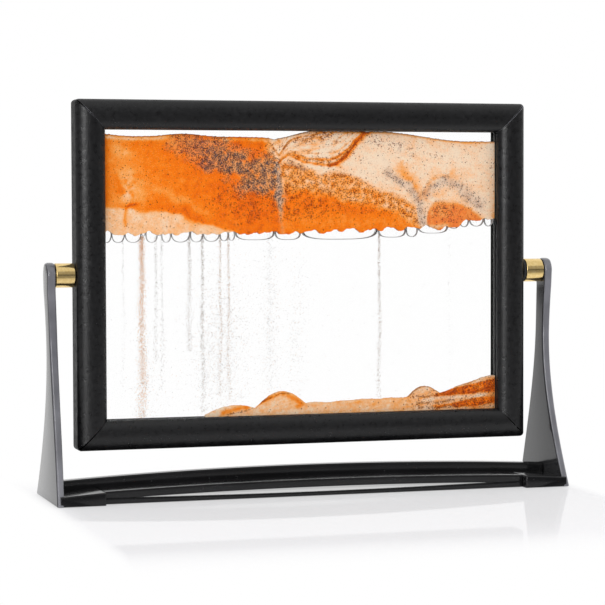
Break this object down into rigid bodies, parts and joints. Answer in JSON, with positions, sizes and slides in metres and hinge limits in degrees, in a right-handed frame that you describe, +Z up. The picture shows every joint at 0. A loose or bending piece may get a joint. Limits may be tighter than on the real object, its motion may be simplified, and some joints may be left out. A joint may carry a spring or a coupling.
{
  "type": "moving sand picture frame",
  "caption": "Sealed glass cell of coloured sand and clear liquid in a black frame that turns end over end on brass pivots between the uprights of a low arched stand.",
  "frame": {"origin": "on the table, under the middle of the stand", "axes": "+X along the long side to the viewer's right, -Y towards the viewer, +Z up"},
  "size_m": [0.2764, 0.0604, 0.2048],
  "materials": {
    "frame_black": "satin black anodised extrusion with a fine mottle",
    "stand_black": "polished black",
    "spindle_brass": "polished, turned",
    "screw_steel": "plain",
    "pad_rubber": "matt",
    "washer_rubber": "matt",
    "seal_rubber": "matt",
    "block_nylon": "natural nylon",
    "key_aluminium": "as extruded",
    "pane_glass": "clear float glass",
    "clear_liquid": "clear liquid",
    "orange_sand": "loose grains in orange, peach, cream and dark brown"
  },
  "bodies": {
    "stand": {"left_upright": "stand_black", "right_upright": "stand_black", "crossbar": "stand_black", "front_tie_rail": "stand_black", "rear_tie_rail": "stand_black", "left_inner_screw": "screw_steel", "left_outer_screw": "screw_steel", "right_inner_screw": "screw_steel", "right_outer_screw": "screw_steel", "left_front_foot_pad": "pad_rubber", "left_rear_foot_pad": "pad_rubber", "right_front_foot_pad": "pad_rubber", "right_rear_foot_pad": "pad_rubber", "left_spindle": "spindle_brass", "right_spindle": "spindle_brass"},
    "picture": {"right_friction_washer": "washer_rubber", "left_pivot_block": "block_nylon", "right_pivot_block": "block_nylon", "frame_top": "frame_black", "frame_bottom": "frame_black", "frame_left": "frame_black", "frame_right": "frame_black", "corner_key_top_left": "key_aluminium", "corner_key_top_right": "key_aluminium", "corner_key_bottom_left": "key_aluminium", "corner_key_bottom_right": "key_aluminium", "front_pane": "pane_glass", "rear_pane": "pane_glass", "cell_spacer": "seal_rubber", "glazing_gasket": "seal_rubber", "fill_plug": "block_nylon", "clear_liquid": "clear_liquid", "sand_upper": "orange_sand", "sand_lower": "orange_sand"}
  },
  "joints": [
    {"name": "picture_turn", "type": "hinge", "parent": "stand", "child": "picture", "pos_m": [0, 0, 0.1151], "axis": [1, 0, 0], "continuous": true}
  ]
}
